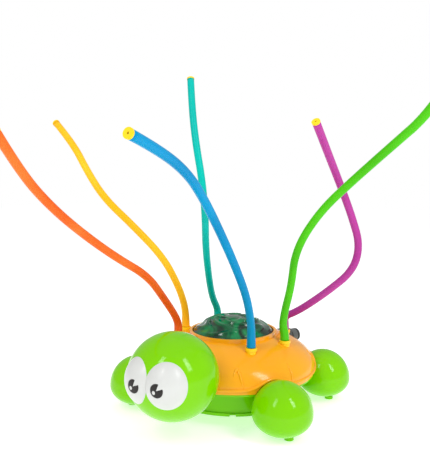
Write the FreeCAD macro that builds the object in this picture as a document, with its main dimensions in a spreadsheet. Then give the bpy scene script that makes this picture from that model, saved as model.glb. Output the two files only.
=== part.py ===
import FreeCAD, Part
import math
import os

import Sketcher
from FreeCAD import Rotation, Vector

# Garden sprinkler in the form of a turtle. Six flexible tubes stand on nipples around a clear
# dome that spins on a spindle. Millimetres. The ground is z = 0, the head points to -Y and the
# turtle's left flank is +X. The dome turns about the upright line x = 0, y = axis_y.

SIZES = {
    "axis_y": 37,
    # orange shell: a flattened ball, cut off at its edge
    "shell_radius": 90.5,
    "shell_rise": 40.5,
    "shell_middle": 44.5,
    "shell_edge": 39.5,
    "shell_wall": 2.4,
    "shell_gap": 0.3,
    # round well in the top of the shell that the dome sits in
    "lip_radius": 48,
    "lip_top": 82.5,
    "well_radius": 45.2,
    "well_floor": 76,
    "boss_hole_radius": 14.3,
    # green pan below the shell
    "pan_radius": 73,
    "pan_bottom": 12,
    "pan_top": 39.5,
    "pan_wall": 2.4,
    "pan_rim": 1.5,
    "pan_rim_height": 3,
    "flange_radius": 88.8,
    "notch_width": 6,
    "notch_height": 2.6,
    # four egg-shaped feet
    "front_foot_x": 86,
    "front_foot_y": -25,
    "rear_foot_x": 84,
    "rear_foot_y": 99,
    "foot_radius": 29.6,
    "foot_upper": 31,
    "foot_lower": 21.6,
    "foot_bottom": 3,
    "foot_wall": 2.2,
    "foot_gap": 0.4,
    "foot_stem_radius": 8,
    "foot_stem_height": 25,
    "pad_radius": 4.5,
    "pad_height": 3.4,
    "pad_shift": 7,
    # head, neck and eyes
    "head_y": -83,
    "head_height": 63.7,
    "head_half_width": 43.4,
    "head_half_length": 43.1,
    "head_half_height": 41.5,
    "head_wall": 2.2,
    "head_seam": -86,
    "neck_radius": 10,
    "neck_bore": 7.6,
    "neck_height": 52,
    "neck_front": -54,
    "neck_back": -33,
    "neck_nut_radius": 12.4,
    "neck_nut_length": 3.5,
    "eye_x": 9.9,
    "eye_y": -104.1,
    "eye_height": 65.4,
    "eye_radius": 24.4,
    "eye_half_height": 25.5,
    "eye_wall": 2,
    "eye_split": 0.05,
    "pupil_x": 12.4,
    "pupil_height": 65.2,
    "pupil_radius": 6.4,
    "pupil_thickness": 0.35,
    # water chamber under the well, with one arm to each nipple
    "chamber_radius": 20,
    "chamber_wall": 3,
    "chamber_bottom": 44,
    "chamber_top": 70,
    "arm_radius": 3.5,
    "arm_bore": 1.8,
    "arm_height": 64,
    "port_radius": 5.5,
    "port_bore": 3.45,
    "port_bottom": 60,
    "port_top": 68.4,
    "lug_circle": 22.5,
    "lug_radius": 4,
    "gasket_thickness": 1,
    "lid_thickness": 2.4,
    "lid_boss_radius": 14,
    "lid_boss_top": 76.2,
    "jet_circle": 11,
    "jet_radius": 0.8,
    # screws
    "screw_radius": 1.5,
    "screw_hole": 1.6,
    "screw_head_radius": 3,
    "screw_head_height": 1.8,
    "screw_seat_gap": 0.1,
    "post_circle": 56,
    "post_radius": 4.5,
    "post_top": 74,
    # spindle and the parts that turn on it
    "spindle_radius": 3,
    "spindle_bottom": 66,
    "spindle_top": 89,
    "spindle_flange_radius": 5.5,
    "spindle_flange_height": 0.8,
    "cap_radius": 4.6,
    "cap_height": 1.6,
    "cap_pin_radius": 1.2,
    "cap_pin_length": 6,
    "washer_radius": 6,
    "washer_bore": 3.1,
    "washer_thickness": 0.8,
    "bush_radius": 5.2,
    "bush_bore": 3.05,
    "bush_bottom": 78.2,
    "bush_top": 88.5,
    "hub_radius": 7.5,
    "hub_bore_top": 92,
    "dome_ball_radius": 70.2,
    "dome_ball_height": 27.3,
    "dome_radius": 44,
    "dome_bottom": 79.6,
    "dome_wall": 2,
    "nub_circle": 26,
    "nub_radius": 1.4,
    "impeller_radius": 40,
    "impeller_bottom": 80,
    "impeller_thickness": 1.4,
    "vane_inner": 9,
    "vane_outer": 34,
    "vane_thickness": 1.6,
    "vane_height": 4,
    # hose inlet on the left of the tail, measured outwards from the dome's axis
    "inlet_height": 62,
    "inlet_start": 52,
    "inlet_body_start": 10,
    "inlet_body_end": 31,
    "inlet_land_start": 35,
    "inlet_groove_start": 42.5,
    "inlet_groove_end": 44.5,
    "inlet_length": 46,
    "inlet_ridge_start": 33,
    "inlet_barb_radius": 3,
    "inlet_barb_bore": 2,
    "inlet_bore_start": 14,
    "inlet_body_radius": 10.5,
    "inlet_hole_radius": 10.7,
    "inlet_ridge_radius": 9,
    "inlet_nose_radius": 7.5,
    "inlet_tip_radius": 7.2,
    "inlet_groove_radius": 5.75,
    "inlet_bore": 5,
    "o_ring_radius": 0.85,
    "screen_radius": 4.95,
    "screen_thickness": 1,
    "screen_hole": 0.9,
    "feed_radius": 4.5,
    "feed_bore": 3.05,
    "feed_height": 50,
    "stub_radius": 3,
    "stub_end": 30,
    # yellow nipples that the tubes stand on
    "nipple_circle": 62,
    "nipple_bottom": 65.4,
    "nipple_plug_radius": 3.4,
    "nipple_bore": 1.4,
    "nipple_neck_radius": 5.2,
    "nipple_collar_bottom": 75,
    "nipple_collar_radius": 6,
    "nipple_top": 78,
    "nipple_spigot_radius": 2.45,
    "nipple_spigot_top": 80.9,
    "nipple_hole_radius": 5.4,
    "nipple_seat_gap": 0.1,
    # tubes, their swivel ends and their nozzles
    "tube_radius": 4,
    "tube_bore": 2.5,
    "tube_pivot": 85,
    "ball_bore": 1.6,
    "ball_bore_reach": 6,
    "root_bottom": 78.3,
    "root_top": 81.1,
    "nozzle_radius": 4.2,
    "nozzle_thickness": 1.6,
    "nozzle_plug_radius": 2.45,
    "nozzle_plug_length": 6,
    "nozzle_bore": 0.9,
}

# Each tube's colour, the angle of its nipple around the dome, and the corners of its route
# after the pivot. The corners are rounded by arcs that touch both runs.
TUBES = {
    "blue": (-45, [(44, -7, 94), (46, -13, 109), (48, -27, 135), (47, -50, 168), (46, -77, 201),
                   (48, -108, 230), (52, -139, 250), (54, -178, 265), (56, -217, 274)]),
    "green": (0, [(60, 36, 94), (62, 36, 109), (70, 34, 137), (78, 24, 176), (105, 19, 216),
                  (142, 15, 249), (180, 3, 279), (205, -7, 298), (219, -16, 315)]),
    "purple": (45, [(43.8, 80.6, 90.6), (47.2, 79.8, 95), (56, 79, 99), (70, 79, 108),
                    (95, 78, 127), (122, 78, 151), (128, 82, 178), (120, 78, 208),
                    (112, 66, 238), (107, 36, 272), (106, 2, 300)]),
    "teal": (135, [(-44, 80, 94), (-45, 70, 108), (-41, 55, 132), (-35, 37, 171), (-29, 26, 209),
                   (-30, 21, 247), (-39, 23, 287), (-50, 33, 326), (-61, 48, 362)]),
    "yellow": (180, [(-61, 35, 94), (-60, 30, 108), (-61, 18, 131), (-69, 1, 163),
                     (-94, -18, 197), (-125, -29, 227), (-151, -26, 256), (-179, -19, 290),
                     (-211, -12, 315)]),
    "orange": (-135, [(-44, -7, 93), (-43, -15, 104), (-45, -31, 123), (-47, -57, 151),
                      (-60, -90, 172), (-70, -125, 197), (-74, -159, 222), (-73, -192, 250),
                      (-66, -222, 281)]),
}
FEET = {
    "front_foot_left": ("Dims.front_foot_x", "Dims.front_foot_y"),
    "front_foot_right": ("-Dims.front_foot_x", "Dims.front_foot_y"),
    "rear_foot_left": ("Dims.rear_foot_x", "Dims.rear_foot_y"),
    "rear_foot_right": ("-Dims.rear_foot_x", "Dims.rear_foot_y"),
}
INLET_ANGLE = 66
LUG_ANGLES = (90, 202.5, 337.5)
POST_ANGLES = (22.5, 157.5, 202.5, 337.5)
NOTCH_ANGLES = (60, 120, 240, 300)
TALL = 200
UP = Vector(0, 0, 1)
FORWARD = Vector(0, 1, 0)

doc = FreeCAD.newDocument("Sprinkler")
sheet = doc.addObject("Spreadsheet::Sheet", "Dims")
for row, (alias, size) in enumerate(SIZES.items(), start=1):
    sheet.set(f"A{row}", alias)
    sheet.set(f"B{row}", str(size))
    sheet.setAlias(f"B{row}", alias)
doc.recompute()

nodes = {}


def value(expression):
    """The number that an expression on the sheet gives."""
    return float(sheet.evalExpression(expression))


def ring(radius, angle):
    """X and Y of a point on a circle around the dome's axis, as expressions."""
    return f"({radius}) * cos({angle} deg)", f"Dims.axis_y + ({radius}) * sin({angle} deg)"


def outward(angle):
    """The level direction that leads away from the dome's axis."""
    return Vector(math.cos(math.radians(angle)), math.sin(math.radians(angle)), 0)


def place(thing, x, y, z, direction=UP):
    """Point a shape's own Z along a direction and tie its origin to the sheet."""
    thing.Placement.Rotation = Rotation(UP, direction)
    for axis, expression in zip("xyz", (x, y, z)):
        thing.setExpression(f"Placement.Base.{axis}", str(expression))
    return thing


def primitive(kind, at, direction=UP, **sizes):
    """A Part primitive with every size tied to the sheet."""
    thing = doc.addObject(f"Part::{kind}", kind)
    for size, expression in sizes.items():
        thing.setExpression(size, str(expression))
    return place(thing, *at, direction)


def cylinder(at, radius, height, direction=UP):
    return primitive("Cylinder", at, direction, Radius=radius, Height=height)


def upright(x, y, radius, bottom, top):
    """An upright cylinder between two heights."""
    return cylinder((x, y, bottom), radius, f"{top} - ({bottom})")


def on_axis(radius, bottom, top):
    """An upright cylinder around the dome's axis."""
    return upright("0", "Dims.axis_y", radius, bottom, top)


def ball(at, radius):
    return primitive("Sphere", at, Radius=radius)


def ellipsoid(at, half_x, half_y, half_z, lower="-90", upper="90"):
    """An ellipsoid, or the part of it between two latitudes."""
    return primitive("Ellipsoid", at, Radius1=half_z, Radius2=half_x, Radius3=half_y,
                     Angle1=lower, Angle2=upper)


def block(x, y, z, length, width, height):
    return primitive("Box", (x, y, z), Length=length, Width=width, Height=height)


def cut(base, *tools):
    """The base with each tool taken away from it."""
    for tool in tools:
        result = doc.addObject("Part::Cut", "Cut")
        result.Base = base
        result.Tool = tool
        base = result
    return base


def fuse(*shapes):
    result = doc.addObject("Part::MultiFuse", "Fuse")
    result.Shapes = list(shapes)
    return result


def overlap(*shapes):
    result = doc.addObject("Part::MultiCommon", "Common")
    result.Shapes = list(shapes)
    return result


def group(*shapes):
    result = doc.addObject("Part::Compound", "Group")
    result.Links = list(shapes)
    return result


def node(name, thing):
    """Name a finished sub-part."""
    thing.Label = name
    nodes[name] = thing
    return thing


def turned(at, corners, direction=UP):
    """A Body turned about its own Z from a closed outline of (radius, height) corners."""
    body = doc.addObject("PartDesign::Body", "Turned")
    sketch = body.newObject("Sketcher::SketchObject", "Outline")
    plane = next(item for item in body.Origin.OriginFeatures if item.Role == "XZ_Plane")
    sketch.AttachmentSupport = [(plane, "")]
    sketch.MapMode = "FlatFace"
    points = [Vector(value(radius), value(height), 0) for radius, height in corners]
    for start, end in zip(points, points[1:] + points[:1]):
        sketch.addGeometry(Part.LineSegment(start, end))
    for line in range(len(points)):
        following = (line + 1) % len(points)
        sketch.addConstraint(Sketcher.Constraint("Coincident", line, 2, following, 1))
    for line, corner in enumerate(corners):
        for kind, expression in zip(("DistanceX", "DistanceY"), corner):
            if value(expression) == 0:
                axis = -2 if kind == "DistanceX" else -1
                sketch.addConstraint(Sketcher.Constraint("PointOnObject", line, 1, axis))
                continue
            number = sketch.addConstraint(
                Sketcher.Constraint(kind, -1, 1, line, 1, value(expression)))
            sketch.setExpression(f"Constraints[{number}]", expression)
    turn = body.newObject("PartDesign::Revolution", "Turn")
    turn.Profile = sketch
    turn.ReferenceAxis = (sketch, ["V_Axis"])
    turn.Angle = 360
    return place(body, *at, direction)


def screw(at, direction, length):
    """A plain screw whose head sits behind the given point and whose shank leads from it."""
    head_at = Vector(direction).multiply(-value("Dims.screw_head_height"))
    behind = [f"{base} + {shift}" for base, shift in zip(at, head_at)]
    head = cylinder(behind, "Dims.screw_head_radius", "Dims.screw_head_height", direction)
    return fuse(head, cylinder(at, "Dims.screw_radius", length, direction))


# ---- shapes that several parts are cut to ------------------------------------------------


def shell_form(grow):
    """The shell's flattened ball, made larger all round by grow."""
    return ellipsoid(("0", "Dims.axis_y", "Dims.shell_middle"), f"Dims.shell_radius + {grow}",
                     f"Dims.shell_radius + {grow}", f"Dims.shell_rise + {grow}")


def egg(x, y, grow):
    """A foot's egg, wide low down and taller above, made larger all round by grow."""
    at = (x, y, "Dims.foot_bottom + Dims.foot_lower")
    radius = f"Dims.foot_radius + {grow}"
    upper = ellipsoid(at, radius, radius, f"Dims.foot_upper + {grow}", "0", "90")
    lower = ellipsoid(at, radius, radius, f"Dims.foot_lower + {grow}", "-90", "0")
    return fuse(upper, lower)


def foot_spaces():
    return [egg(x, y, "Dims.foot_gap") for x, y in FEET.values()]


def head_form(grow):
    """The head's ball, made larger all round by grow. Its poles point forwards and back, where
    the neck and the face cover them, so that the seam cuts a plain ring."""
    return primitive("Ellipsoid", ("0", "Dims.head_y", "Dims.head_height"), FORWARD,
                     Radius1=f"Dims.head_half_length + {grow}",
                     Radius2=f"Dims.head_half_width + {grow}",
                     Radius3=f"Dims.head_half_height + {grow}", Angle1="-90", Angle2="90")


def eye_form(side, grow):
    return ellipsoid((f"{side} * Dims.eye_x", "Dims.eye_y", "Dims.eye_height"),
                     f"Dims.eye_radius + {grow}", f"Dims.eye_radius + {grow}",
                     f"Dims.eye_half_height + {grow}")


def foot_angle(x, y):
    """The angle of a foot around the dome's axis, in degrees."""
    return math.degrees(math.atan2(value(y) - value("Dims.axis_y"), value(x)))


# ---- shell and pan -----------------------------------------------------------------------


def make_shell():
    floor_bottom = "Dims.well_floor - Dims.shell_wall"
    crown = overlap(shell_form("0"),
                    on_axis("Dims.shell_radius + 1", "Dims.shell_edge", "Dims.lip_top"))
    hollow = overlap(shell_form("-Dims.shell_wall"),
                     on_axis("Dims.shell_radius", "Dims.shell_edge - 1", floor_bottom))
    posts = [upright(*ring("Dims.post_circle", angle), "Dims.post_radius",
                     "Dims.pan_bottom + Dims.pan_wall", "Dims.post_top")
             for angle in POST_ANGLES]
    well = on_axis("Dims.well_radius", "Dims.well_floor", "Dims.lip_top + 1")
    wall = cut(fuse(crown, on_axis("Dims.lip_radius", floor_bottom, "Dims.lip_top")), hollow)
    holes = [on_axis("Dims.boss_hole_radius", "Dims.port_top", "Dims.well_floor + 1")]
    holes += [upright(*ring("Dims.nipple_circle", angle), "Dims.nipple_hole_radius",
                      "Dims.port_top", "Dims.lip_top") for angle, _ in TUBES.values()]
    holes += [upright(*ring("Dims.nipple_circle", angle),
                      "Dims.nipple_collar_radius + Dims.nipple_seat_gap",
                      "Dims.nipple_collar_bottom", "Dims.lip_top") for angle, _ in TUBES.values()]
    holes += [upright(*ring("Dims.lug_circle", angle), "Dims.screw_hole",
                      "Dims.chamber_top", "Dims.well_floor + 1") for angle in LUG_ANGLES]
    holes += [upright(*ring("Dims.post_circle", angle), "Dims.screw_hole",
                      "Dims.pan_bottom", "Dims.shell_edge") for angle in POST_ANGLES]
    holes += [
        cylinder((*ring("Dims.inlet_start", INLET_ANGLE), "Dims.inlet_height"),
                 "Dims.inlet_hole_radius", "Dims.inlet_length", outward(INLET_ANGLE)),
        cylinder(("0", "Dims.neck_front - 10", "Dims.neck_height"),
                 "Dims.neck_radius + 0.2", "Dims.neck_back - Dims.neck_front + 10", FORWARD),
    ]
    node("shell", cut(fuse(cut(wall, well), *posts), *holes, *foot_spaces()))


def make_pan():
    inner = "Dims.pan_radius - Dims.pan_wall"
    walls = fuse(on_axis("Dims.pan_radius", "Dims.pan_bottom", "Dims.pan_top"),
                 on_axis("Dims.pan_radius + Dims.pan_rim", "Dims.pan_bottom",
                         "Dims.pan_bottom + Dims.pan_rim_height"),
                 on_axis("Dims.flange_radius", "Dims.pan_top - Dims.pan_wall", "Dims.pan_top"))
    holes = [on_axis(inner, "Dims.pan_bottom + Dims.pan_wall", "Dims.pan_top + 1")]
    holes += [upright(*ring("Dims.post_circle", angle), "Dims.screw_hole",
                      "Dims.pan_bottom - 1", "Dims.pan_bottom + Dims.pan_wall + 1")
              for angle in POST_ANGLES]
    for x, y in FEET.values():
        angle = foot_angle(x, y)
        holes.append(cylinder((*ring("Dims.pan_radius - 2 * Dims.pan_wall", angle),
                               "Dims.foot_stem_height"), "Dims.screw_hole",
                              "3 * Dims.pan_wall", outward(angle)))
    for angle in NOTCH_ANGLES:
        notch = block("-Dims.notch_width / 2", "0", "0", "Dims.notch_width", "10",
                      "Dims.notch_height")
        x, y = ring("Dims.pan_radius - 2", angle)
        place(notch, x, y, "Dims.pan_bottom - 0.01")
        notch.Placement.Rotation = Rotation(UP, angle - 90)
        holes.append(notch)
    node("belly_pan", cut(walls, *holes, *foot_spaces()))
    screws = [screw((*ring("Dims.post_circle", angle), "Dims.pan_bottom"), UP, "16")
              for angle in POST_ANGLES]
    node("body_screws", group(*screws))


# ---- feet --------------------------------------------------------------------------------


def make_feet():
    pads = []
    screws = []
    for name, (x, y) in FEET.items():
        angle = foot_angle(x, y)
        centre = (x, y, "Dims.foot_stem_height")
        stem = cylinder(centre, "Dims.foot_stem_radius", "50", -outward(angle))
        pilot = cylinder(centre, "Dims.screw_hole", "50", -outward(angle))
        pan_form = on_axis("Dims.pan_radius", "0", str(TALL))
        side = "1" if value(x) > 0 else "-1"
        pad_at = (f"{x} + {side} * Dims.pad_shift", y)
        seat = upright(*pad_at, "Dims.pad_radius", "-1", "Dims.pad_height")
        hollow = cut(egg(x, y, "-Dims.foot_wall"),
                     cylinder(centre, "Dims.foot_stem_radius", "50", -outward(angle)))
        skin = cut(fuse(egg(x, y, "0"), stem), hollow, pan_form, pilot, seat)
        node(name, skin)
        pads.append(upright(*pad_at, "Dims.pad_radius", "0", "Dims.pad_height"))
        start = (*ring("Dims.pan_radius - Dims.pan_wall - Dims.screw_seat_gap", angle),
                 "Dims.foot_stem_height")
        screws.append(screw(start, outward(angle), "14"))
    node("foot_pads", group(*pads))
    node("foot_screws", group(*screws))


# ---- head and eyes -----------------------------------------------------------------------


def make_head():
    front_half = block("-100", "Dims.head_seam - 100", "0", "200", "100", str(TALL))
    back_half = block("-100", "Dims.head_seam", "0", "200", "100", str(TALL))
    node("head_front", overlap(cut(head_form("0"), head_form("-Dims.head_wall")), front_half))
    back_plate = overlap(head_form("0"), shell_form("Dims.shell_gap + Dims.head_wall"))
    skin = fuse(cut(head_form("0"), head_form("-Dims.head_wall")), back_plate)
    rear = overlap(cut(skin, shell_form("Dims.shell_gap"),
                       on_axis("Dims.flange_radius + Dims.shell_gap", "0",
                               "Dims.pan_top + Dims.shell_gap")), back_half)
    neck_at = ("0", "Dims.neck_front", "Dims.neck_height")
    neck_length = "Dims.neck_back - Dims.neck_front"
    neck = cylinder(neck_at, "Dims.neck_radius", neck_length, FORWARD)
    bore = cylinder(("0", "Dims.neck_front - 5", "Dims.neck_height"), "Dims.neck_bore",
                    f"{neck_length} + 6", FORWARD)
    node("head_back", cut(fuse(rear, neck), bore))
    nut_at = ("0", "Dims.neck_back - Dims.neck_nut_length", "Dims.neck_height")
    node("neck_nut", cut(cylinder(nut_at, "Dims.neck_nut_radius", "Dims.neck_nut_length",
                                  FORWARD),
                         cylinder(nut_at, "Dims.neck_radius", "Dims.neck_nut_length", FORWARD)))


def make_eye(name, side):
    split = block("Dims.eye_split - 100" if side > 0 else "-Dims.eye_split", "-200", "0",
                  "100", "200", str(TALL))
    node(f"eye_{name}", cut(eye_form(side, "0"), eye_form(side, "-Dims.eye_wall"),
                            head_form("0"), split))
    disc = cylinder((f"{side} * Dims.pupil_x", "Dims.eye_y - 40", "Dims.pupil_height"),
                    "Dims.pupil_radius", "40", FORWARD)
    node(f"pupil_{name}", cut(overlap(disc, eye_form(side, "Dims.pupil_thickness")),
                              eye_form(side, "0")))


# ---- water chamber, feed and hose inlet --------------------------------------------------


def make_manifold():
    bottom = "Dims.chamber_bottom"
    drum = on_axis("Dims.chamber_radius", bottom, "Dims.chamber_top")
    solids = [drum]
    spaces = [on_axis("Dims.chamber_radius - Dims.chamber_wall", f"{bottom} + 3",
                      "Dims.chamber_top + 1")]
    for angle, _ in TUBES.values():
        hub_point = ("0", "Dims.axis_y", "Dims.arm_height")
        solids.append(cylinder(hub_point, "Dims.arm_radius", "Dims.nipple_circle",
                               outward(angle)))
        spaces.append(cylinder(hub_point, "Dims.arm_bore", "Dims.nipple_circle",
                               outward(angle)))
        port = ring("Dims.nipple_circle", angle)
        solids.append(upright(*port, "Dims.port_radius", "Dims.port_bottom", "Dims.port_top"))
        spaces.append(upright(*port, "Dims.port_bore", "Dims.port_bottom + 2",
                              "Dims.port_top + 1"))
    for angle in LUG_ANGLES:
        lug = ring("Dims.lug_circle", angle)
        solids.append(upright(*lug, "Dims.lug_radius", "Dims.arm_height - 5",
                              "Dims.chamber_top"))
        spaces.append(upright(*lug, "Dims.screw_hole", "Dims.arm_height - 4",
                              "Dims.chamber_top + 1"))
    stub_at = ("0", "Dims.axis_y", "Dims.feed_height")
    solids.append(cylinder(stub_at, "Dims.stub_radius", "Dims.stub_end", outward(INLET_ANGLE)))
    spaces.append(cylinder(stub_at, "Dims.inlet_barb_bore", "Dims.stub_end + 1",
                           outward(INLET_ANGLE)))
    node("manifold_body", cut(fuse(*solids), *spaces))


def make_lid():
    gasket_top = "Dims.chamber_top + Dims.gasket_thickness"
    lid_top = f"{gasket_top} + Dims.lid_thickness"

    def plate(bottom, top):
        lugs = [upright(*ring("Dims.lug_circle", angle), "Dims.lug_radius", bottom, top)
                for angle in LUG_ANGLES]
        return fuse(on_axis("Dims.chamber_radius", bottom, top), *lugs)

    def screw_holes():
        return [upright(*ring("Dims.lug_circle", angle), "Dims.screw_hole",
                        "Dims.chamber_top - 1", f"{lid_top} + 1") for angle in LUG_ANGLES]

    node("manifold_gasket", cut(
        plate("Dims.chamber_top", gasket_top), *screw_holes(),
        on_axis("Dims.chamber_radius - Dims.chamber_wall", "Dims.chamber_top - 1",
                f"{gasket_top} + 1")))
    jets = [upright(*ring("Dims.jet_circle", angle), "Dims.jet_radius", "Dims.chamber_top",
                    "Dims.lid_boss_top + 1") for angle in (0, 120, 240)]
    node("manifold_lid", cut(
        fuse(plate(gasket_top, lid_top),
             on_axis("Dims.lid_boss_radius", gasket_top, "Dims.lid_boss_top")),
        *screw_holes(), *jets,
        on_axis("Dims.spindle_radius", "Dims.chamber_top", "Dims.lid_boss_top + 1")))
    screws = [screw((*ring("Dims.lug_circle", angle), "Dims.well_floor"), -UP, "14")
              for angle in LUG_ANGLES]
    node("manifold_screws", group(*screws))


def make_inlet():
    at = (*ring("Dims.inlet_start", INLET_ANGLE), "Dims.inlet_height")
    corners = [
        ("Dims.inlet_barb_bore", "0"),
        ("Dims.inlet_barb_radius", "0"),
        ("Dims.inlet_barb_radius", "Dims.inlet_body_start"),
        ("Dims.inlet_body_radius", "Dims.inlet_body_start"),
        ("Dims.inlet_body_radius", "Dims.inlet_body_end"),
        ("Dims.inlet_nose_radius", "Dims.inlet_body_end"),
        ("Dims.inlet_nose_radius", "Dims.inlet_ridge_start"),
        ("Dims.inlet_ridge_radius", "Dims.inlet_ridge_start"),
        ("Dims.inlet_ridge_radius", "Dims.inlet_land_start"),
        ("Dims.inlet_nose_radius", "Dims.inlet_land_start"),
        ("Dims.inlet_nose_radius", "Dims.inlet_groove_start"),
        ("Dims.inlet_groove_radius", "Dims.inlet_groove_start"),
        ("Dims.inlet_groove_radius", "Dims.inlet_groove_end"),
        ("Dims.inlet_tip_radius", "Dims.inlet_groove_end"),
        ("Dims.inlet_tip_radius", "Dims.inlet_length"),
        ("Dims.inlet_bore", "Dims.inlet_length"),
        ("Dims.inlet_bore", "Dims.inlet_bore_start"),
        ("Dims.inlet_barb_bore", "Dims.inlet_bore_start"),
    ]
    direction = outward(INLET_ANGLE)
    node("inlet_spigot", turned(at, corners, direction))
    middle = "Dims.inlet_start + (Dims.inlet_groove_start + Dims.inlet_groove_end) / 2"
    node("inlet_o_ring", primitive(
        "Torus", (*ring(middle, INLET_ANGLE), "Dims.inlet_height"), direction,
        Radius1="Dims.inlet_groove_radius + Dims.o_ring_radius", Radius2="Dims.o_ring_radius"))
    screen_at = (*ring("Dims.inlet_start + Dims.inlet_bore_start", INLET_ANGLE),
                 "Dims.inlet_height")
    holes = [cylinder(screen_at, "Dims.screen_hole", "Dims.screen_thickness", direction)]
    across = Rotation(UP, direction)
    for step in range(6):
        turn = math.radians(60 * step)
        shift = across.multVec(Vector(3 * math.cos(turn), 3 * math.sin(turn), 0))
        moved = [f"{base} + {part}" for base, part in zip(screen_at, shift)]
        holes.append(cylinder(moved, "Dims.screen_hole", "Dims.screen_thickness", direction))
    node("inlet_screen", cut(cylinder(screen_at, "Dims.screen_radius", "Dims.screen_thickness",
                                      direction), *holes))


def rounded_path(points):
    """Straight runs joined by arcs that touch them. Returns the wire and the arcs' radii."""
    edges = []
    radii = []
    start = points[0]
    for before, corner, after in zip(points, points[1:], points[2:]):
        back = (before - corner).normalize()
        ahead = (after - corner).normalize()
        half_turn = (math.pi - back.getAngle(ahead)) / 2
        reach = 0.45 * min(before.distanceToPoint(corner), corner.distanceToPoint(after))
        radius = reach / math.tan(half_turn)
        towards = (back + ahead).normalize()
        centre = corner + towards * math.hypot(radius, reach)
        enter = corner + back * reach
        leave = corner + ahead * reach
        edges.append(Part.LineSegment(start, enter).toShape())
        edges.append(Part.Arc(enter, centre - towards * radius, leave).toShape())
        radii.append(radius)
        start = leave
    edges.append(Part.LineSegment(start, points[-1]).toShape())
    return Part.Wire(edges), radii


def swept(path, radius):
    """A round bar of the given radius along a path."""
    spine = doc.addObject("Part::Feature", "Path")
    spine.Shape = path
    first = path.Edges[0]
    start = first.Vertexes[0].Point
    section = doc.addObject("Part::Circle", "Section")
    section.setExpression("Radius", radius)
    section.Placement.Base = start
    section.Placement.Rotation = Rotation(UP, first.tangentAt(first.FirstParameter))
    bar = doc.addObject("Part::Sweep", "Sweep")
    bar.Sections = [section]
    bar.Spine = (spine, [f"Edge{number + 1}" for number in range(len(path.Edges))])
    bar.Solid = True
    bar.Frenet = False
    return bar


def make_feed_hose():
    """The short hose inside the body, from the inlet down to the side of the chamber."""
    corners = []
    for radius, height in ((58, "inlet_height"), (50, "inlet_height"), (32, "feed_height"),
                           (24, "feed_height")):
        point = outward(INLET_ANGLE) * radius
        corners.append(point + Vector(0, value("Dims.axis_y"), value(f"Dims.{height}")))
    path, _ = rounded_path(corners)
    node("feed_hose", cut(swept(path, "Dims.feed_radius"), swept(path, "Dims.feed_bore")))


# ---- spindle and dome --------------------------------------------------------------------


def make_spindle():
    flange_bottom = "Dims.lid_boss_top"
    flange_top = f"{flange_bottom} + Dims.spindle_flange_height"
    pin_hole = on_axis("Dims.cap_pin_radius", "Dims.spindle_top - Dims.cap_pin_length",
                       "Dims.spindle_top + 1")
    node("spindle", cut(
        fuse(on_axis("Dims.spindle_radius", "Dims.spindle_bottom", "Dims.spindle_top"),
             on_axis("Dims.spindle_flange_radius", flange_bottom, flange_top)), pin_hole))
    node("thrust_washer", cut(
        on_axis("Dims.washer_radius", flange_top, f"{flange_top} + Dims.washer_thickness"),
        on_axis("Dims.washer_bore", flange_top, f"{flange_top} + Dims.washer_thickness")))
    node("spindle_cap", fuse(
        on_axis("Dims.cap_radius", "Dims.spindle_top", "Dims.spindle_top + Dims.cap_height"),
        on_axis("Dims.cap_pin_radius", "Dims.spindle_top - Dims.cap_pin_length",
                "Dims.spindle_top + 0.1")))


def make_dome():
    ball_at = ("0", "Dims.axis_y", "Dims.dome_ball_height")
    inner_radius = "Dims.dome_radius - Dims.dome_wall"
    outer = overlap(ball(ball_at, "Dims.dome_ball_radius"),
                    on_axis("Dims.dome_radius", "Dims.dome_bottom", str(TALL)))
    inner = overlap(ball(ball_at, "Dims.dome_ball_radius - Dims.dome_wall"),
                    on_axis(inner_radius, "Dims.dome_bottom - 1", str(TALL)))
    hub = on_axis("Dims.hub_radius", "Dims.bush_bottom", "Dims.hub_bore_top + 4.5")
    nub_height = ("Dims.dome_ball_height + "
                  "sqrt(Dims.dome_ball_radius ^ 2 - Dims.nub_circle ^ 2)")
    nubs = [ball((*ring("Dims.nub_circle", 45 * step), nub_height), "Dims.nub_radius")
            for step in range(8)]
    bore = on_axis("Dims.bush_radius", "Dims.bush_bottom - 1", "Dims.hub_bore_top")
    node("dome_cover", cut(fuse(cut(outer, inner), hub, *nubs), bore))
    node("dome_bush", turned(("0", "Dims.axis_y", "Dims.bush_bottom"), [
        ("Dims.bush_bore", "0"),
        ("Dims.bush_radius", "0"),
        ("Dims.bush_radius", "Dims.bush_top - Dims.bush_bottom"),
        ("Dims.bush_bore", "Dims.bush_top - Dims.bush_bottom"),
    ]))


def make_impeller():
    plate_top = "Dims.impeller_bottom + Dims.impeller_thickness"
    plate = on_axis("Dims.impeller_radius", "Dims.impeller_bottom", plate_top)
    vanes = []
    for step in range(8):
        vane = block("0", "0", "0", "Dims.vane_outer - Dims.vane_inner",
                     "Dims.vane_thickness", "Dims.vane_height + 0.5")
        place(vane, *ring("Dims.vane_inner", 45 * step), f"{plate_top} - 0.5")
        vane.Placement.Rotation = Rotation(UP, 45 * step)
        vanes.append(vane)
    node("impeller", cut(fuse(plate, *vanes),
                         on_axis("Dims.hub_radius", "Dims.impeller_bottom - 1", str(TALL))))


# ---- nipples and tubes -------------------------------------------------------------------


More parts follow.
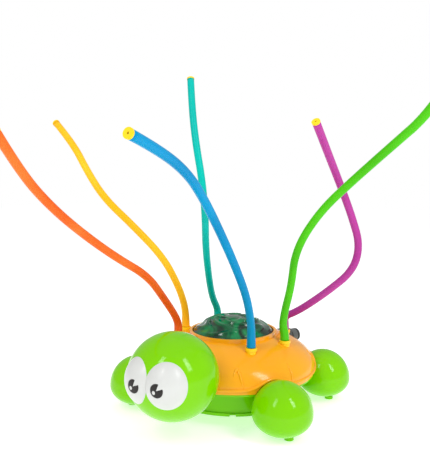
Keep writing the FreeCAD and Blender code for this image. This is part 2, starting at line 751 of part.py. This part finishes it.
def make_nipple(name, angle):
    base = "Dims.nipple_bottom"
    corners = [
        ("Dims.nipple_bore", "0"),
        ("Dims.nipple_plug_radius", "0"),
        ("Dims.nipple_plug_radius", f"Dims.port_top - {base}"),
        ("Dims.nipple_neck_radius", f"Dims.port_top - {base}"),
        ("Dims.nipple_neck_radius", f"Dims.nipple_collar_bottom - {base}"),
        ("Dims.nipple_collar_radius", f"Dims.nipple_collar_bottom - {base}"),
        ("Dims.nipple_collar_radius", f"Dims.nipple_top - {base}"),
        ("Dims.nipple_spigot_radius", f"Dims.nipple_top - {base}"),
        ("Dims.nipple_spigot_radius", f"Dims.nipple_spigot_top - {base}"),
        ("Dims.nipple_bore", f"Dims.nipple_spigot_top - {base}"),
    ]
    node(f"nipple_{name}", turned((*ring("Dims.nipple_circle", angle), base), corners))


def make_tube(name, angle, corners):
    x, y = ring("Dims.nipple_circle", angle)
    node(f"root_{name}", turned((x, y, "Dims.root_bottom"), [
        ("Dims.tube_bore", "0"),
        ("Dims.tube_radius", "0"),
        ("Dims.tube_radius", "Dims.root_top - Dims.root_bottom"),
        ("Dims.tube_bore", "Dims.root_top - Dims.root_bottom"),
    ]))
    pivot = Vector(value(x), value(y), value("Dims.tube_pivot"))
    points = [pivot] + [Vector(*corner) for corner in corners]
    path, radii = rounded_path(points)
    joint_ball = cut(ball((x, y, "Dims.tube_pivot"), "Dims.tube_radius"),
                     upright(x, y, "Dims.ball_bore", "Dims.root_bottom",
                             "Dims.tube_pivot + Dims.ball_bore_reach"))
    wall = cut(swept(path, "Dims.tube_radius"), swept(path, "Dims.tube_bore"))
    node(f"tube_{name}", fuse(wall, joint_ball))
    tip = points[-1]
    direction = (points[-1] - points[-2]).normalize()
    plug_at = tip - direction * value("Dims.nozzle_plug_length")
    length = "Dims.nozzle_plug_length + Dims.nozzle_thickness"
    node(f"nozzle_{name}", cut(
        fuse(cylinder(tip, "Dims.nozzle_radius", "Dims.nozzle_thickness", direction),
             cylinder(plug_at, "Dims.nozzle_plug_radius", length, direction)),
        cylinder(plug_at, "Dims.nozzle_bore", length, direction)))
    return path.Length, radii


def export_nodes(lengths):
    """Check every object and write one file for each sub-part."""
    doc.recompute()
    for thing in doc.Objects:
        if {"Invalid", "Error"} & set(thing.State):
            raise RuntimeError(f"{thing.Name} ({thing.Label}) is {thing.State}")
    os.makedirs("parts", exist_ok=True)
    for name, thing in nodes.items():
        shape = thing.Shape
        if shape.isNull() or not shape.isValid():
            raise RuntimeError(f"{name} has no valid shape")
        shape.exportStep(f"parts/{name}.step")
        print(f"{name}: {len(shape.Solids)} solid(s), {shape.Volume:.0f} mm3")
    area = math.pi * (value("Dims.tube_radius") ** 2 - value("Dims.tube_bore") ** 2)
    for name, (length, radii) in lengths.items():
        share = nodes[f"tube_{name}"].Shape.Volume / (area * length)
        print(f"tube_{name}: {length:.0f} mm, volume/section*length {share:.3f}, radii",
              [round(radius, 1) for radius in radii])


make_shell()
make_pan()
make_feet()
make_head()
make_eye("left", 1)
make_eye("right", -1)
make_manifold()
make_lid()
make_inlet()
make_feed_hose()
make_spindle()
make_dome()
make_impeller()
tube_lengths = {}
for colour, (nipple_angle, route) in TUBES.items():
    make_nipple(colour, nipple_angle)
    tube_length, tube_radii = make_tube(colour, nipple_angle, route)
    tube_lengths[colour] = (tube_length, tube_radii)
export_nodes(tube_lengths)
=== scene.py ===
import math

import bmesh
import bpy
from mathutils import Matrix, Vector


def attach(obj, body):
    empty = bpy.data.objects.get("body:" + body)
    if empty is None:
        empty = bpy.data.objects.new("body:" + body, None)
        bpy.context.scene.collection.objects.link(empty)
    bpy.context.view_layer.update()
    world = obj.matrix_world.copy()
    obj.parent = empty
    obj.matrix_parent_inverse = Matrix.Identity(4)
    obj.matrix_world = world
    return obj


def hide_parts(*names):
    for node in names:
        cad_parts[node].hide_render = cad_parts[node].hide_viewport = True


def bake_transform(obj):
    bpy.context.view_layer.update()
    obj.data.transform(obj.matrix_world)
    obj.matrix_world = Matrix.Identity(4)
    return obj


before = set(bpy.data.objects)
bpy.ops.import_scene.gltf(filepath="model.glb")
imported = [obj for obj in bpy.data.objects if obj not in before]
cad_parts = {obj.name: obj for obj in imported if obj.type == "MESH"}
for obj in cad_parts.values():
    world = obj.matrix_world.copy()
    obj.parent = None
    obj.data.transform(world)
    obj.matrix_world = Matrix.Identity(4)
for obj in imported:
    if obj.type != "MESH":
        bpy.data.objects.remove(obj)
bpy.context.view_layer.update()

# Camera. It stands ahead of the turtle on its left side, a little above it, and looks
# slightly down.

CAMERA_PLACE = (0.29285, -0.52199, 0.23809)
CAMERA_BEARING = math.radians(29.46)
CAMERA_DIP = math.radians(4.75)
LENS = 43.86
SENSOR_WIDTH = 36
looking = Vector((-math.sin(CAMERA_BEARING) * math.cos(CAMERA_DIP),
                  math.cos(CAMERA_BEARING) * math.cos(CAMERA_DIP), -math.sin(CAMERA_DIP)))
camera = bpy.data.objects.new("camera", bpy.data.cameras.new("camera"))
bpy.context.collection.objects.link(camera)
camera.data.sensor_width = SENSOR_WIDTH
camera.data.lens = LENS
camera.data.clip_start = 0.01
camera.location = CAMERA_PLACE
camera.rotation_euler = looking.to_track_quat("-Z", "Y").to_euler()
bpy.context.scene.camera = camera

# Water tubes. Six soft vinyl tubes, 8 mm across, each pushed over a nipple and held up by its
# own stiffness. Each is one extruded length.

AXIS_Y = 0.037
NIPPLE_CIRCLE = 0.062
TUBE_RADIUS = 0.004
TUBE_FOOT = 0.0784
TUBE_PIVOT = 0.085
MOUTH_SWELL = (1.18, 1.14, 1.05)
SKIN_DEPTH = 0.0002
SKIN_GRAIN = 420.0
MERGE_DISTANCE = 0.00001
# For each tube: its nipple's angle round the dome, its length, its two pigments, and the
# corners of its route.
TUBES = {
    "blue": (-45, 0.306, (0.0, 0.30, 0.60, 1), (0.0, 0.24, 0.52, 1), [
        (0.044, -0.007, 0.094), (0.046, -0.013, 0.109), (0.048, -0.027, 0.135),
        (0.047, -0.050, 0.168), (0.046, -0.077, 0.201), (0.048, -0.108, 0.230),
        (0.052, -0.139, 0.250), (0.054, -0.178, 0.265), (0.056, -0.217, 0.274)]),
    "green": (0, 0.305, (0.085, 0.58, 0.008, 1), (0.06, 0.47, 0.004, 1), [
        (0.060, 0.036, 0.094), (0.062, 0.036, 0.109), (0.070, 0.034, 0.137),
        (0.078, 0.024, 0.176), (0.105, 0.019, 0.216), (0.142, 0.015, 0.249),
        (0.180, 0.003, 0.279), (0.205, -0.007, 0.298), (0.219, -0.016, 0.315)]),
    "purple": (45, 0.292, (0.52, 0.06, 0.36, 1), (0.42, 0.04, 0.28, 1), [
        (0.0438, 0.0806, 0.0906), (0.0472, 0.0798, 0.095), (0.056, 0.079, 0.099),
        (0.070, 0.079, 0.108), (0.095, 0.078, 0.127), (0.122, 0.078, 0.151),
        (0.128, 0.082, 0.178), (0.120, 0.078, 0.208), (0.112, 0.066, 0.238),
        (0.107, 0.036, 0.272), (0.106, 0.002, 0.300)]),
    "teal": (135, 0.306, (0.0, 0.53, 0.45, 1), (0.0, 0.44, 0.38, 1), [
        (-0.044, 0.080, 0.094), (-0.045, 0.070, 0.108), (-0.041, 0.055, 0.132),
        (-0.035, 0.037, 0.171), (-0.029, 0.026, 0.209), (-0.030, 0.021, 0.247),
        (-0.039, 0.023, 0.287), (-0.050, 0.033, 0.326), (-0.061, 0.048, 0.362)]),
    "yellow": (180, 0.309, (1.0, 0.57, 0.02, 1), (0.97, 0.48, 0.01, 1), [
        (-0.061, 0.035, 0.094), (-0.060, 0.030, 0.108), (-0.061, 0.018, 0.131),
        (-0.069, 0.001, 0.163), (-0.094, -0.018, 0.197), (-0.125, -0.029, 0.227),
        (-0.151, -0.026, 0.256), (-0.179, -0.019, 0.290), (-0.211, -0.012, 0.315)]),
    "orange": (-135, 0.306, (0.95, 0.20, 0.03, 1), (0.85, 0.11, 0.01, 1), [
        (-0.044, -0.007, 0.093), (-0.043, -0.015, 0.104), (-0.045, -0.031, 0.123),
        (-0.047, -0.057, 0.151), (-0.060, -0.090, 0.172), (-0.070, -0.125, 0.197),
        (-0.074, -0.159, 0.222), (-0.073, -0.192, 0.250), (-0.066, -0.222, 0.281)]),
}


class Signal:
    """A shader socket. Arithmetic on it adds Math nodes to its material."""

    def __init__(self, tree, socket=None):
        self.tree = tree
        self.socket = socket

    def make(self, kind, settings, inputs, output=0):
        node = self.tree.nodes.new("ShaderNode" + kind)
        for name, value in settings.items():
            setattr(node, name, value)
        for key, value in inputs.items():
            if isinstance(value, Signal):
                self.tree.links.new(value.socket, node.inputs[key])
            else:
                node.inputs[key].default_value = value
        return Signal(self.tree, node.outputs[output])

    def math(self, operation, first, second):
        return self.make("Math", {"operation": operation}, {0: first, 1: second})

    def mix(self, first, second):
        """One colour where this mask is 0, the other where it is 1."""
        return self.make("Mix", {"data_type": "RGBA"}, {0: self, 6: first, 7: second}, 2)

    def band(self, low, high):
        """0 below low, 1 above high, and a smooth step between them."""
        return self.make("MapRange", {"interpolation_type": "SMOOTHSTEP"},
                         {"Value": self, "From Min": low, "From Max": high})

    def __add__(self, other):
        return self.math("ADD", self, other)

    def __mul__(self, other):
        return self.math("MULTIPLY", self, other)

    __radd__ = __add__
    __rmul__ = __mul__


def moulded(name, colour, deeper, roughness, relief=0.04, coat=0.0, **fixed):
    """Moulded plastic: drifting pigment, uneven polish and a fine skin."""
    finish = bpy.data.materials.new(name)
    finish.use_nodes = True
    tree = finish.node_tree
    shader = tree.nodes["Principled BSDF"]
    place = Signal(tree).make("TexCoord", {}, {}, "Object")
    drift = place.make("TexNoise", {}, {"Vector": place, "Scale": 16.0, "Detail": 3.0})
    skin = place.make("TexNoise", {}, {"Vector": place, "Scale": SKIN_GRAIN, "Detail": 2.0})
    polish = place.make("TexNoise", {}, {"Vector": place, "Scale": 60.0, "Detail": 4.0})
    surface = place.make("Bump", {}, {"Strength": relief, "Distance": SKIN_DEPTH,
                                      "Height": skin})
    tree.links.new(drift.band(0.3, 0.7).mix(colour, deeper).socket,
                   shader.inputs["Base Color"])
    tree.links.new((polish * 0.12 + roughness).socket, shader.inputs["Roughness"])
    tree.links.new(surface.socket, shader.inputs["Normal"])
    shader.inputs["Specular IOR Level"].default_value = 0.25
    shader.inputs["Coat Weight"].default_value = coat
    shader.inputs["Coat Roughness"].default_value = 0.08
    for socket, value in fixed.items():
        shader.inputs[socket.replace("_", " ")].default_value = value
    return finish


def wear(piece, finish):
    """Give a piece one finish all over."""
    piece.data.materials.clear()
    piece.data.materials.append(finish)


def along(name, points, radius=0.0, cyclic=False, thickness=None):
    """A smooth line through the corners given, as a mesh: bare, or as a round bar."""
    line = bpy.data.curves.new(name, "CURVE")
    line.dimensions = "3D"
    spline = line.splines.new("NURBS")
    spline.points.add(len(points) - 1)
    for index, corner in enumerate(points):
        spline.points[index].co = (*corner, 1)
        spline.points[index].radius = thickness[index] if thickness else 1.0
    spline.order_u = 3
    spline.use_endpoint_u = not cyclic
    spline.use_cyclic_u = cyclic
    spline.resolution_u = 14
    line.bevel_depth = radius
    line.bevel_resolution = 7
    line.use_fill_caps = True
    guide = bpy.data.objects.new(name, line)
    mesh = bpy.data.meshes.new_from_object(guide)
    bpy.data.objects.remove(guide)
    bpy.data.curves.remove(line)
    mesh.name = name
    return mesh


def piece_from(name, shape, finish):
    """A bmesh or a mesh, closed, facing outwards and smooth, as a piece of the turtle."""
    if isinstance(shape, bpy.types.Mesh):
        work = bmesh.new()
        work.from_mesh(shape)
        mesh = shape
    else:
        work = shape
        mesh = bpy.data.meshes.new(name)
    bmesh.ops.remove_doubles(work, verts=work.verts, dist=MERGE_DISTANCE)
    bmesh.ops.recalc_face_normals(work, faces=work.faces)
    for face in work.faces:
        face.smooth = True
    work.to_mesh(mesh)
    work.free()
    made = bpy.data.objects.new(name, mesh)
    bpy.context.collection.objects.link(made)
    wear(made, finish)
    return made


for colour, (angle, length, pigment, deeper, corners) in TUBES.items():
    turn = math.radians(angle)
    foot = (NIPPLE_CIRCLE * math.cos(turn), AXIS_Y + NIPPLE_CIRCLE * math.sin(turn))
    route = [(*foot, TUBE_FOOT), (*foot, TUBE_PIVOT), *corners]
    swell = [*MOUTH_SWELL] + [1.0] * (len(route) - len(MOUTH_SWELL))
    centres = [tuple(corner.co) for corner in along(colour, route).vertices]
    vinyl = moulded(f"{colour}_vinyl", pigment, deeper, 0.24, relief=0.08,
                    Subsurface_Weight=0.08, Subsurface_Scale=0.002,
                    Specular_IOR_Level=0.12)
    tube = piece_from(f"{colour}_tube", along(colour, route, TUBE_RADIUS, thickness=swell),
                      vinyl)
    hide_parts(f"root_{colour}", f"tube_{colour}")
    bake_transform(tube)

# Yellow fittings. Nipples of hard yellow plastic stand in the shell at the tube feet, and a
# plug of the same plastic closes the far end of each tube.

yellow_hard = moulded("fitting_yellow", (1.0, 0.70, 0.012, 1), (1.0, 0.63, 0.008, 1), 0.28)
for colour in TUBES:
    wear(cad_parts[f"nipple_{colour}"], yellow_hard)
    wear(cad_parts[f"nozzle_{colour}"], yellow_hard)

# Shell. One glossy orange moulding with a round well in its top. A fine raised line runs
# round it above the edge and climbs over the feet, and short creases mark out its plates.

SHELL_RADIUS = 0.0905
SHELL_RISE = 0.0405
SHELL_MIDDLE = 0.0445
BORDER_HEIGHT = 0.044
BORDER_CLEARANCE = 0.004
BORDER_RADIUS = 0.0016
FOOT_RADIUS = 0.0296
FOOT_UPPER = 0.031
FOOT_WIDEST = 0.0246
FEET = [(side * x, y) for side in (1, -1) for x, y in ((0.086, -0.025), (0.084, 0.099))]
BORDER_STEP = 4
shell_gloss = moulded("shell_orange", (0.97, 0.41, 0.010, 1), (0.95, 0.37, 0.006, 1), 0.12,
                      relief=0.03, coat=0.1)
wear(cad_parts["shell"], shell_gloss)


def on_shell(angle, height):
    """The point of the shell's skin at an angle round the dome and a height."""
    turn = math.radians(angle)
    reach = SHELL_RADIUS * math.sqrt(1 - ((height - SHELL_MIDDLE) / SHELL_RISE) ** 2)
    return Vector((reach * math.cos(turn), AXIS_Y + reach * math.sin(turn), height))


def border_height(angle):
    """The raised line's height: level, but clear of the top of any foot below it."""
    height = BORDER_HEIGHT
    for x, y in FEET:
        spot = on_shell(angle, height)
        for settle in range(4):
            apart = math.hypot(spot.x - x, spot.y - y) / FOOT_RADIUS
            top = FOOT_WIDEST + FOOT_UPPER * math.sqrt(max(0.0, 1 - apart ** 2))
            spot = on_shell(angle, max(BORDER_HEIGHT, top + BORDER_CLEARANCE))
        height = max(height, spot.z)
    return height


levels = [border_height(angle) for angle in range(0, 360, BORDER_STEP)]
for pass_over in range(2):
    levels = [(levels[step - 1] + 2 * levels[step] + levels[(step + 1) % len(levels)]) / 4
              for step in range(len(levels))]
border = piece_from("shell_border", along("border", [
    on_shell(BORDER_STEP * step, level) for step, level in enumerate(levels)],
    BORDER_RADIUS, cyclic=True), shell_gloss)
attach(border, "base")

CREASE_RADIUS = 0.0014
CREASE_TIP = 0.3
# Each crease as angles round the dome and heights, for the front left of the shell.
CREASES = [
    [(-62, 0.0565), (-60.5, 0.0610), (-59.5, 0.0625), (-58, 0.0590), (-57.5, 0.0565),
     (-56.5, 0.0510), (-55.5, 0.0455)],
    [(-20, 0.0625), (-20.5, 0.0570), (-21, 0.0520), (-21.5, 0.0475)],
]
for number, crease in enumerate(CREASES):
    taper = [CREASE_TIP] + [1.0] * (len(crease) - 2) + [CREASE_TIP]
    for end, facing in (("front", 1), ("rear", -1)):
        for flank, start, way in (("left", 0, 1), ("right", 180, -1)):
            spots = [on_shell(start + way * facing * angle, height) for angle, height in crease]
            ridge = piece_from(f"crease_{number}_{end}_{flank}",
                               along("crease", spots, CREASE_RADIUS, thickness=taper),
                               shell_gloss)
            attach(ridge, "base")

# Pan, head and feet. Lime green mouldings with a high gloss: the pan closes the shell from
# below, the head is two halves glued at an upright seam, and a screw holds each egg foot.

lime_gloss = moulded("body_green", (0.215, 0.64, 0.0, 1), (0.195, 0.60, 0.0, 1), 0.04,
                     relief=0.008, coat=0.18, Specular_IOR_Level=0.12)
for name in ("belly_pan", "head_front", "head_back", "front_foot_left", "front_foot_right",
             "rear_foot_left", "rear_foot_right", "neck_nut"):
    wear(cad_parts[name], lime_gloss)
pad_rubber = moulded("foot_pad_green", (0.26, 0.74, 0.005, 1), (0.22, 0.66, 0.005, 1), 0.55,
                     relief=0.3, coat=0.0)
wear(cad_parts["foot_pads"], pad_rubber)

# Eyes. Two white domes of hard plastic meet at a crease on the face. Each pupil is a black
# foil disc with a wedge left out of it, stuck in a shallow seat, and has a white glint.

EYE_RADIUS = 0.0244
EYE_HALF_HEIGHT = 0.0255
EYE_X = 0.0099
EYE_Y = -0.1041
EYE_HEIGHT = 0.0654
PUPIL_X = 0.0124
PUPIL_HEIGHT = 0.0652
PUPIL_RADIUS = 0.0062
GLINT_RADIUS = 0.0016
GLINT_SHIFT = (-0.0024, -0.0017)
WEDGE_MIDDLE = 46
WEDGE_HALF = 26
FOIL = 0.0003
PUPIL_LIFT = 0.0001
GLINT_LIFT = 0.0003
FOIL_RINGS = 10
FOIL_STEPS = 60
eye_white = moulded("eye_white", (0.68, 0.69, 0.67, 1), (0.64, 0.65, 0.63, 1), 0.24,
                    relief=0.02, coat=0.1)
pupil_black = moulded("pupil_black", (0.012, 0.010, 0.010, 1), (0.03, 0.026, 0.024, 1), 0.32)
for name in ("eye_left", "eye_right"):
    wear(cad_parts[name], eye_white)


def foil(name, side, x, height, radius, start, sweep, lift, finish):
    """A thin disc, or a disc with a wedge left out, laid on an eye's curved front."""
    work = bmesh.new()
    spoke = [work.verts.new((radius * step / FOIL_RINGS, 0, 0))
             for step in range(FOIL_RINGS + 1)]
    edges = [work.edges.new(pair) for pair in zip(spoke, spoke[1:])]
    bmesh.ops.rotate(work, verts=work.verts, cent=(0, 0, 0),
                     matrix=Matrix.Rotation(math.radians(start), 3, "Z"))
    bmesh.ops.spin(work, geom=spoke + edges, cent=(0, 0, 0), axis=(0, 0, 1),
                   angle=math.radians(sweep), steps=FOIL_STEPS, use_merge=sweep == 360)
    bmesh.ops.remove_doubles(work, verts=work.verts, dist=MERGE_DISTANCE / 10)
    for corner in work.verts:
        across = x + corner.co.x
        up = height + corner.co.y
        depth = 1 - ((across - side * EYE_X) / EYE_RADIUS) ** 2
        depth -= ((up - EYE_HEIGHT) / EYE_HALF_HEIGHT) ** 2
        corner.co = (across, EYE_Y - EYE_RADIUS * math.sqrt(depth) - lift, up)
    for face in work.faces:
        if face.normal.y > 0:
            face.normal_flip()
    bmesh.ops.solidify(work, geom=work.faces[:], thickness=FOIL)
    return piece_from(name, work, finish)


for side, flank in ((1, "left"), (-1, "right")):
    pupil = foil(f"pupil_{flank}_foil", side, side * PUPIL_X, PUPIL_HEIGHT, PUPIL_RADIUS,
                 WEDGE_MIDDLE + WEDGE_HALF, 360 - 2 * WEDGE_HALF, PUPIL_LIFT, pupil_black)
    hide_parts(f"pupil_{flank}")
    glint = foil(f"glint_{flank}", side, side * PUPIL_X + GLINT_SHIFT[0],
                 PUPIL_HEIGHT + GLINT_SHIFT[1], GLINT_RADIUS, 0, 360, GLINT_LIFT, eye_white)
    for sticker, slot in ((pupil, "pupil_black"), (glint, "eye_white")):
        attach(sticker, "base")

# Dome. A clear dark green cover, moulded in one with its hub. Curved waves stand up from its
# skin and a ring of nubs goes round it. It spins on the spindle.

DOME_BALL = 0.0702
DOME_BALL_HEIGHT = 0.0273
DOME_RADIUS = 0.044
DOME_BOTTOM = 0.0796
DOME_WALL = 0.002
HUB_RADIUS = 0.0075
HUB_BOTTOM = 0.0782
HUB_BORE_TOP = 0.092
BUSH_RADIUS = 0.0052
NUB_CIRCLE = 0.026
NUB_RADIUS = 0.0014
NUB_COUNT = 8
WAVE_COUNT = 6
WAVE_HEIGHT = 0.0022
WAVE_BEND = 0.75
WAVE_INNER = 0.008
WAVE_OUTER = 0.0415
OUTER_STEPS = 72
INNER_STEPS = 12
SKIN_TOLERANCE = 0.00002
TURN_STEPS = 256


def ball_height(ball, reach):
    """The height of a ball about the dome's centre, at a distance from its axis."""
    return DOME_BALL_HEIGHT + math.sqrt(ball ** 2 - reach ** 2)


INNER_RADIUS = DOME_RADIUS - DOME_WALL
outer_reach = [DOME_RADIUS * step / OUTER_STEPS for step in range(OUTER_STEPS + 1)]
outer = [(reach, ball_height(DOME_BALL, reach)) for reach in outer_reach]
inner_reach = [INNER_RADIUS - (INNER_RADIUS - HUB_RADIUS) * step / INNER_STEPS
               for step in range(INNER_STEPS + 1)]
inner = [(reach, ball_height(DOME_BALL - DOME_WALL, reach)) for reach in inner_reach]
section = [*outer, (DOME_RADIUS, DOME_BOTTOM), (INNER_RADIUS, DOME_BOTTOM), *inner,
           (HUB_RADIUS, HUB_BOTTOM), (BUSH_RADIUS, HUB_BOTTOM), (BUSH_RADIUS, HUB_BORE_TOP),
           (0.0, HUB_BORE_TOP)]
work = bmesh.new()
profile = [work.verts.new((reach, 0, height)) for reach, height in section]
edges = [work.edges.new(pair) for pair in zip(profile, profile[1:])]
bmesh.ops.spin(work, geom=profile + edges, cent=(0, 0, 0), axis=(0, 0, 1),
               angle=2 * math.pi, steps=TURN_STEPS, use_merge=True)
bmesh.ops.remove_doubles(work, verts=work.verts, dist=MERGE_DISTANCE)
relief = {}
for corner in work.verts:
    reach = math.hypot(corner.co.x, corner.co.y)
    off_skin = abs(corner.co.z - ball_height(DOME_BALL, min(reach, DOME_RADIUS)))
    if off_skin >= SKIN_TOLERANCE or not WAVE_INNER < reach < WAVE_OUTER:
        continue
    along_wave = (reach - WAVE_INNER) / (WAVE_OUTER - WAVE_INNER)
    bend = WAVE_BEND * math.sin(2 * math.pi * along_wave)
    crest = 0.5 + 0.5 * math.sin(WAVE_COUNT * (math.atan2(corner.co.y, corner.co.x) + bend))
    relief[corner] = crest ** 2 * math.sin(math.pi * along_wave) ** 0.5
for corner, height in relief.items():
    outwards = (corner.co - Vector((0, 0, DOME_BALL_HEIGHT))).normalized()
    corner.co += outwards * height * WAVE_HEIGHT
bmesh.ops.translate(work, verts=work.verts, vec=(0, AXIS_Y, 0))
heights = {tuple(round(part, 5) for part in corner.co): height
           for corner, height in relief.items()}

dome_green = bpy.data.materials.new("dome_green")
dome_green.use_nodes = True
tree = dome_green.node_tree
shader = tree.nodes["Principled BSDF"]
wave = Signal(tree).make("Attribute", {"attribute_name": "wave"}, {}, "Fac")
place = wave.make("TexCoord", {}, {}, "Object")
swirl_highlight_and_polish = wave.make("TexNoise", {}, {"Vector": place, "Scale": 32.0, "Detail": 2.0,
                                   "Distortion": 1.6})
skin = wave.make("TexNoise", {}, {"Vector": place, "Scale": SKIN_GRAIN, "Detail": 2.0})
# Painted highlights: swirls of brighter green laid over the dark green of the cover.
depth = swirl_highlight_and_polish.band(0.40, 0.66).mix((0.001, 0.024, 0.009, 1), (0.0, 0.26, 0.075, 1))
# Painted highlights: the wave crests are pulled towards a mid green, lighter than the dark
# ground.
colour_with_painted_highlights = (wave * 0.6).mix(depth, (0.004, 0.15, 0.055, 1))
surface = wave.make("Bump", {}, {"Strength": 0.06, "Distance": SKIN_DEPTH, "Height": skin})
tree.links.new(colour_with_painted_highlights.socket, shader.inputs["Base Color"])
# The same swirl also makes the polish uneven.
tree.links.new((swirl_highlight_and_polish * 0.08 + 0.05).socket, shader.inputs["Roughness"])
tree.links.new(surface.socket, shader.inputs["Normal"])
shader.inputs["Transmission Weight"].default_value = 0.12
shader.inputs["Specular IOR Level"].default_value = 0.2
shader.inputs["Coat Weight"].default_value = 0.35
dome = piece_from("dome_cover_waves", work, dome_green)
attribute = dome.data.attributes.new("wave", "FLOAT", "POINT")
for corner in dome.data.vertices:
    attribute.data[corner.index].value = heights.get(
        tuple(round(part, 5) for part in corner.co), 0.0)
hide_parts("dome_cover")
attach(dome, "dome")
for step in range(NUB_COUNT):
    turn = math.radians(360 / NUB_COUNT * step)
    work = bmesh.new()
    bmesh.ops.create_uvsphere(work, u_segments=20, v_segments=12, radius=NUB_RADIUS)
    bmesh.ops.translate(work, verts=work.verts, vec=(
        NUB_CIRCLE * math.cos(turn), AXIS_Y + NUB_CIRCLE * math.sin(turn),
        ball_height(DOME_BALL, NUB_CIRCLE)))
    nub = piece_from(f"dome_nub_{step}", work, dome_green)
    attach(nub, "dome")

# Works under the dome. A white chamber and its lid, the impeller and bush, a black gasket
# and washer, a steel spindle and screws, and a clear hose between the inlet and the chamber.

inner_white = moulded("inner_white", (0.80, 0.80, 0.77, 1), (0.72, 0.72, 0.69, 1), 0.35)
seal_black = moulded("seal_black", (0.02, 0.02, 0.022, 1), (0.035, 0.035, 0.037, 1), 0.6,
                     relief=0.25, coat=0.0)
steel = moulded("screw_steel", (0.62, 0.62, 0.63, 1), (0.50, 0.50, 0.52, 1), 0.25,
                coat=0.0, Metallic=1.0)
hose_clear = moulded("hose_clear", (0.75, 0.80, 0.80, 1), (0.66, 0.72, 0.73, 1), 0.2,
                     Transmission_Weight=0.5)
FINISHES = {
    "manifold_body": inner_white, "manifold_lid": inner_white, "impeller": inner_white,
    "dome_bush": inner_white, "manifold_gasket": seal_black, "thrust_washer": seal_black,
    "inlet_o_ring": seal_black, "manifold_screws": steel, "body_screws": steel,
    "foot_screws": steel, "spindle": steel, "spindle_cap": inner_white,
    "inlet_screen": steel, "feed_hose": hose_clear,
}
for name, finish in FINISHES.items():
    wear(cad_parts[name], finish)

# Hose inlet. A grey plastic spigot with grip rings round its body comes out of the shell left
# of the tail. The click connector of the water hose goes over its nose.

INLET_ANGLE = 66
INLET_HEIGHT = 0.062
INLET_START = 0.052
INLET_STEPS = 64
INLET_EDGE = 0.00015
# The spigot's outline: distances from its own axis, and from its inner end.
INLET_SECTION = [
    (0.002, 0.0), (0.003, 0.0), (0.003, 0.010), (0.0105, 0.010), (0.0105, 0.0270),
    (0.0097, 0.0275), (0.0097, 0.0280), (0.0105, 0.0285), (0.0105, 0.0292),
    (0.0097, 0.0297), (0.0097, 0.0302), (0.0104, 0.0306), (0.0102, 0.0310),
    (0.0075, 0.031), (0.0075, 0.033), (0.0088, 0.0332), (0.009, 0.0335), (0.009, 0.0347),
    (0.0087, 0.035), (0.0075, 0.035), (0.0075, 0.0425), (0.00575, 0.0425),
    (0.00575, 0.0445), (0.0072, 0.0445), (0.0072, 0.0457), (0.0069, 0.046),
    (0.005, 0.046), (0.005, 0.014), (0.002, 0.014),
]
inlet_grey = moulded("inlet_grey", (0.16, 0.17, 0.17, 1), (0.10, 0.11, 0.11, 1), 0.3)
work = bmesh.new()
profile = [work.verts.new((reach, 0, outwards)) for reach, outwards in INLET_SECTION]
edges = [work.edges.new(pair) for pair in zip(profile, profile[1:] + profile[:1])]
bmesh.ops.spin(work, geom=profile + edges, cent=(0, 0, 0), axis=(0, 0, 1),
               angle=2 * math.pi, steps=INLET_STEPS, use_merge=True)
turn = math.radians(INLET_ANGLE)
direction = Vector((math.cos(turn), math.sin(turn), 0))
base = Vector((INLET_START * direction.x, AXIS_Y + INLET_START * direction.y, INLET_HEIGHT))
bmesh.ops.transform(work, verts=work.verts, matrix=Matrix.Translation(base) @
                    direction.to_track_quat("Z", "Y").to_matrix().to_4x4())
inlet = piece_from("inlet_spigot_turned", work, inlet_grey)
crisp = inlet.modifiers.new("crisp edges", "BEVEL")
crisp.width = INLET_EDGE
crisp.segments = 2
crisp.limit_method = "ANGLE"
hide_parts("inlet_spigot")
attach(inlet, "base")

# Studio. A plain pale floor of paper under soft light. One softbox stands ahead and one at the
# left flank, each in two panes like a window, and a wide one hangs overhead.

FLOOR_HALF = 6.0
WORLD_LIGHT = 0.55
SOFTBOX_AIM = (0, 0, 0.06)
PANE_WIDTH = 0.24
PANE_HEIGHT = 0.42
PANE_LIFT = 0.26
work = bmesh.new()
bmesh.ops.create_grid(work, x_segments=1, y_segments=1, size=FLOOR_HALF)
floor = bpy.data.objects.new("floor", bpy.data.meshes.new("floor"))
work.to_mesh(floor.data)
work.free()
bpy.context.collection.objects.link(floor)
paper = moulded("paper", (0.93, 0.93, 0.93, 1), (0.92, 0.92, 0.92, 1), 0.85, coat=0.0,
                Emission_Color=(1, 1, 1, 1), Emission_Strength=0.5)
wear(floor, paper)


def softbox(name, place, aim, width, height, power):
    """A lamp with an oblong face, turned towards the point given."""
    lamp = bpy.data.objects.new(name, bpy.data.lights.new(name, "AREA"))
    lamp.data.shape = "RECTANGLE"
    lamp.data.size = width
    lamp.data.size_y = height
    lamp.data.energy = power
    lamp.location = place
    lamp.rotation_euler = (Vector(aim) - Vector(place)).to_track_quat("-Z", "Y").to_euler()
    bpy.context.collection.objects.link(lamp)


for name, place, power in (("ahead", (-0.18, -0.95, 1.15), 5.0),
                           ("flank", (1.02, -0.27, 1.06), 7.0)):
    for pane, lift in (("upper", PANE_LIFT), ("lower", -PANE_LIFT)):
        softbox(f"{name}_{pane}", (place[0], place[1], place[2] + lift), SOFTBOX_AIM,
                PANE_WIDTH, PANE_HEIGHT, power / 2)
softbox("top", (0.0, 0.1, 1.6), (0, 0, 0.05), 1.6, 1.6, 2.0)
world = bpy.data.worlds.new("studio")
world.use_nodes = True
backdrop = world.node_tree.nodes["Background"]
backdrop.inputs["Color"].default_value = (1, 1, 1, 1)
seen = Signal(world.node_tree).make("LightPath", {}, {}, "Is Camera Ray")
world.node_tree.links.new((seen * (1 - WORLD_LIGHT) + WORLD_LIGHT).socket,
                          backdrop.inputs["Strength"])
bpy.context.scene.world = world
bpy.context.scene.view_settings.view_transform = "Standard"
